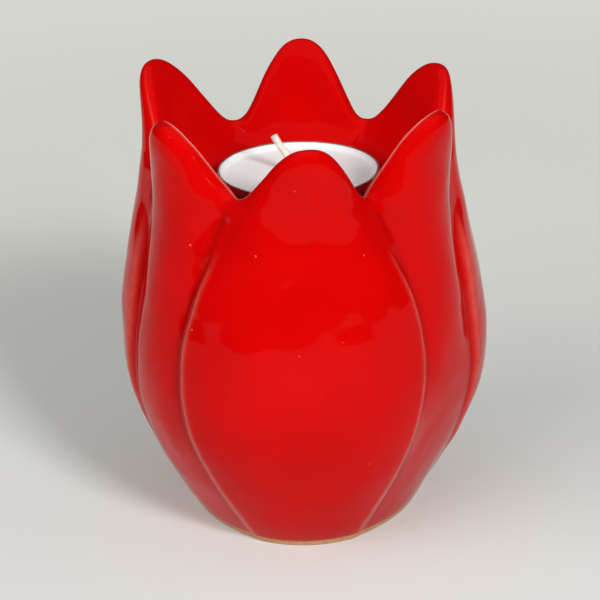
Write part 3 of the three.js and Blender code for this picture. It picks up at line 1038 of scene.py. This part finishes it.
@dataclass
class Tealight:
    """The pressed cup of a 38 mm tealight, standing on the pocket's floor."""

    floor: float = 68.4
    radius: float = 18.7
    height: float = 15.0
    gauge: float = 0.3
    taper: float = 0.5
    corner: float = 1.6
    bead: float = 0.19
    bead_tuck: float = 60.0
    crimps: int = 5
    first_crimp: float = 137.6
    crimp_width: float = 1.1
    crimp_depth: float = 0.3
    crimp_reach: float = 1.2
    bead_steps: int = 14
    steps: int = 180

    def build(self) -> list[Object]:
        """Builds the cup over its CAD node.

        Returns:
            The pieces.
        """
        bottom = self.radius - self.taper
        bead_height = self.height - self.bead
        profile = [
            (0, 0),
            *arc(bottom - self.corner, self.corner, self.corner, -90, 0),
            (self.radius, bead_height - self.bead),
            *arc(self.radius, bead_height, self.bead, -self.bead_tuck, 180, self.bead_steps),
            (self.radius - self.gauge, bead_height - self.bead),
            *arc(bottom - self.corner, self.corner, self.corner - self.gauge, 0, -90),
            (0, self.gauge),
        ]
        grid = turned(profile, self.steps)
        around = np.linspace(0, TURN, self.steps, endpoint=False)
        off = np.full(self.steps, self.radius)
        for number in range(self.crimps):
            centre = math.radians(self.first_crimp) + TURN * number / self.crimps
            turn = (around - centre + math.pi) % TURN - math.pi
            off = np.minimum(off, np.abs(turn) * self.radius)
        high = smooth_step((grid[..., 2] - bead_height + self.crimp_reach) / self.crimp_reach)
        push = self.crimp_depth * hump(off, self.crimp_width)[:, None] * high
        grid[..., 0] += push * np.sin(around)[:, None]
        grid[..., 1] -= push * np.cos(around)[:, None]
        grid += np.array(AXIS) / MM + (0, 0, self.floor)
        cup = skin("tealight_shell", grid, [PressedAluminium()])
        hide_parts("tealight_cup")
        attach(cup, "tealight")
        return [cup]


@dataclass
class Candle:
    """The loose candle: its wax, the wick and the steel tab that holds the wick."""

    floor: float = 68.7
    radius: float = 18.3
    bottom_radius: float = 17.6
    height: float = 13.5
    corner: float = 1.6
    meniscus: float = 1.1
    meniscus_width: float = 1.8
    clearance: float = 0.3
    wick_radius: float = 0.85
    wick_rise: float = 9.4
    wick_lean: float = 5.5
    wick_upright: float = 1.6
    wick_knee_rise: float = 3.8
    wick_knee_lean: float = 2.6
    braid_depth: float = 0.07
    braid_pitch: float = 3.4
    braid_strands: int = 4
    tab_radius: float = 6.5
    tab_gauge: float = 0.3
    neck_wall: float = 0.35
    neck_height: float = 3.5
    ripple_depth: float = 0.12
    ripple_size: float = 9.0
    ripple_seed: float = 3.0
    meniscus_steps: int = 8
    top_steps: int = 13
    neck_steps: int = 4
    wick_rows: int = 220
    wick_sides: int = 40
    steps: int = 160

    def wax_grid(self) -> np.ndarray:
        """Turns the wax, hollowed for the tab and bored for the wick."""
        bore = self.wick_radius + self.clearance
        neck = bore + self.neck_wall + self.clearance
        tab = self.tab_radius + self.clearance
        roof = self.tab_gauge + self.clearance
        t = np.linspace(0, 1, self.meniscus_steps + 1)
        rise = self.height + self.meniscus * (1 - t) ** 2
        cup_side = list(zip(self.radius - self.meniscus_width * t, rise))
        wick_side = list(zip(bore + self.meniscus_width * t, rise))[::-1]
        inward = np.linspace(cup_side[-1][0], wick_side[0][0], self.top_steps + 1)[1:-1]
        return turned(
            [
                (tab, 0),
                *arc(self.bottom_radius - self.corner, self.corner, self.corner, -90, 0),
                *cup_side,
                *((r, self.height) for r in inward),
                *wick_side,
                (bore, self.neck_height + self.clearance),
                (neck, self.neck_height + self.clearance),
                (neck, roof),
                (tab, roof),
            ],
            self.steps,
        )

    def wick_grid(self) -> np.ndarray:
        """Lofts the braided wick, straight up through the wax and leaning above it."""
        half = self.wick_rows // 2
        straight = np.array([(0, 0, z) for z in np.linspace(0, self.height, half, endpoint=False)])
        t = np.linspace(0, 1, half)[:, None]
        exit_point = np.array((0, 0, self.height))
        upright = exit_point + (0, 0, self.wick_upright)
        knee = exit_point + (-self.wick_knee_lean, 0, self.wick_knee_rise)
        tip = exit_point + (-self.wick_lean, 0, self.wick_rise)
        path = np.vstack([straight, bezier(t, exit_point, upright, knee, tip)])
        run = np.concatenate([[0], np.cumsum(np.linalg.norm(np.diff(path, axis=0), axis=1))])
        ahead = np.gradient(path, run, axis=0)
        ahead /= np.linalg.norm(ahead, axis=1)[:, None]
        back = np.array((0, 1, 0))
        side = np.cross(back, ahead)
        around = np.linspace(0, TURN, self.wick_sides, endpoint=False)[:, None]
        twist = TURN * run / (self.braid_pitch * self.braid_strands)
        right = np.cos(self.braid_strands * (around + twist))
        left = np.cos(self.braid_strands * (around - twist))
        swell = 1 + self.braid_depth * (np.maximum(right, left) - 1)
        swell[:, 0] = swell[:, -1] = 0
        r = (self.wick_radius * swell)[..., None]
        return path + r * (np.sin(around)[..., None] * side - np.cos(around)[..., None] * back)

    def tab_grid(self) -> np.ndarray:
        """Turns the tab under the candle and its neck round the wick."""
        bore = self.wick_radius + self.clearance
        neck = bore + self.neck_wall
        edge = self.tab_gauge / 2
        return turned(
            [
                (bore, 0),
                *arc(self.tab_radius - edge, edge, edge, -90, 90),
                *arc(neck + edge, self.tab_gauge + edge, edge, -90, -180, self.neck_steps),
                *arc(neck - edge, self.neck_height - edge, edge, 0, 90, self.neck_steps),
                (bore, self.neck_height),
            ],
            self.steps,
        )

    def build(self) -> list[Object]:
        """Builds the candle over its CAD nodes.

        Returns:
            The pieces.
        """
        place = np.array(AXIS) / MM + (0, 0, self.floor)
        wax = skin("candle_body", self.wax_grid() + place, [ParaffinWax()], ring=True)
        above = self.floor + self.height - self.meniscus
        ripple(wax, self.ripple_depth, self.ripple_size, self.ripple_seed, above)
        wick = skin("candle_wick", self.wick_grid() + place, [WaxedCotton()])
        tab = skin("candle_tab", self.tab_grid() + place, [TinnedSteel()], ring=True)
        made = (
            (wax, "candle_wax", "white_wax"),
            (wick, "wick", "cotton_wick"),
            (tab, "wick_sustainer", "tab_steel"),
        )
        for piece, node, slot in made:
            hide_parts(node)
            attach(piece, "candle")
        return [piece for piece, _, _ in made]


@dataclass(frozen=True)
class Lamp:
    """A square soft light: where it hangs, in degrees and metres from the flower, its side and its watts.

    The photograph's own lights hardly show in the gloss, so only the lamps that are mirrored do here.
    """

    name: str
    azimuth: float
    elevation: float
    distance: float
    side: float
    power: float
    mirrored: bool = False


@dataclass
class Studio:
    """The pale floor, the soft light and the camera. Lengths here are in metres."""

    floor_radius: float = 0.6
    floor_thickness: float = 0.002
    floor_rings: int = 24
    floor_steps: int = 128
    lamps: tuple[Lamp, ...] = (
        Lamp("key_light", 28.0, 32.0, 1.1, 0.25, 10.3),
        Lamp("fill_light", -48.0, 30.0, 1.1, 1.0, 7.8),
        Lamp("top_light", 0.0, 80.0, 1.1, 1.8, 3.6, mirrored=True),
        Lamp("right_glint", 30.0, 33.0, 1.1, 0.05, 0.1, mirrored=True),
        Lamp("left_glint", -35.0, 35.0, 1.1, 0.05, 0.05, mirrored=True),
    )
    dim: float = 0.05
    horizon: float = 5.0
    horizon_blur: float = 0.01
    camera_height: float = 0.05
    camera_distance: float = 0.76
    camera_elevation: float = 22.2
    camera_azimuth: float = 0.48
    camera_roll: float = -1.45
    lens: float = 193.4
    shift_x: float = -0.0027
    shift_y: float = 0.0023
    nearest: float = 0.05
    farthest: float = 20.0

    def build(self) -> list[Object]:
        """Builds the studio round the flower.

        Returns:
            The floor.
        """
        floor = self.floor()
        self.world()
        for lamp in self.lamps:
            self.hang(lamp)
        self.camera()
        return [floor]

    def floor(self) -> Object:
        """Lays the round table top, thin and with its edge rounded over."""
        radius = self.floor_radius / MM
        bend = self.floor_thickness / MM / 2
        inward = np.linspace(radius, 0, self.floor_rings)[1:]
        profile = [(0, -2 * bend), *arc(radius, -bend, bend, -90, 90), *((r, 0) for r in inward)]
        floor = skin("studio_floor", turned(profile, self.floor_steps), [StudioPaper()])
        return floor

    def world(self) -> None:
        """Keeps the room dim, with pale paper that goes on from the floor and all round the camera's view."""
        world = bpy.data.worlds.new("studio")
        bpy.context.scene.world = world
        world.use_nodes = True
        tree = world.node_tree
        tree.nodes.clear()
        facing = add_node(tree, "ShaderNodeTexCoord").outputs["Generated"]
        axes = add_node(tree, "ShaderNodeSeparateXYZ", {"Vector": facing})
        edge = -math.sin(math.radians(self.horizon))
        below = {"Value": axes.outputs["Z"], "From Min": edge + self.horizon_blur, "From Max": edge}
        paper = add_node(tree, "ShaderNodeMapRange", below)
        room = add_node(tree, "ShaderNodeBackground", {"Strength": self.dim})
        pale = add_node(tree, "ShaderNodeBackground", {"Color": linear(BACKDROP), "Strength": 1.0})
        sides = {0: seen_directly(tree, paper.outputs[0]), 1: room.outputs[0], 2: pale.outputs[0]}
        both = add_node(tree, "ShaderNodeMixShader", sides)
        add_node(tree, "ShaderNodeOutputWorld", {"Surface": both.outputs[0]})

    def hang(self, lamp: Lamp) -> None:
        """Hangs a lamp so that it faces the flower."""
        data = bpy.data.lights.new(lamp.name, "AREA")
        data.shape = "SQUARE"
        data.size = lamp.side
        data.energy = lamp.power
        light = bpy.data.objects.new(lamp.name, data)
        light.visible_glossy = lamp.mirrored
        bpy.context.scene.collection.objects.link(light)
        around = math.radians(lamp.azimuth)
        up = math.radians(lamp.elevation)
        towards = Vector((math.sin(around) * math.cos(up), -math.cos(around) * math.cos(up), math.sin(up)))
        light.location = AXIS + Vector((0, 0, self.camera_height)) + towards * lamp.distance
        light.rotation_euler = towards.to_track_quat("Z", "Y").to_euler()

    def camera(self) -> None:
        """Stands the camera where the photograph was taken from."""
        data = bpy.data.cameras.new("camera")
        data.lens = self.lens
        data.shift_x = self.shift_x
        data.shift_y = self.shift_y
        data.clip_start = self.nearest
        data.clip_end = self.farthest
        camera = bpy.data.objects.new("camera", data)
        bpy.context.scene.collection.objects.link(camera)
        turn = Matrix.Rotation(math.radians(self.camera_azimuth), 4, "Z")
        tilt = Matrix.Rotation(QUARTER - math.radians(self.camera_elevation), 4, "X")
        roll = Matrix.Rotation(math.radians(self.camera_roll), 4, "Z")
        aim = Matrix.Translation(AXIS + Vector((0, 0, self.camera_height)))
        back = Matrix.Translation((0, 0, self.camera_distance))
        camera.matrix_world = aim @ turn @ tilt @ back @ roll
        bpy.context.scene.camera = camera


def main() -> None:
    """Builds the tulip, its tealight and the studio, and reports each piece."""
    logging.basicConfig(level=logging.INFO, format="%(message)s")
    for assembly in (Tulip(), Tealight(), Candle(), Studio()):
        for piece in assembly.build():
            LOG.info("%s: %d faces", piece.name, len(piece.data.polygons))
    scene = bpy.context.scene
    scene.view_settings.view_transform = "Standard"


if __name__ == "__main__":
    main()
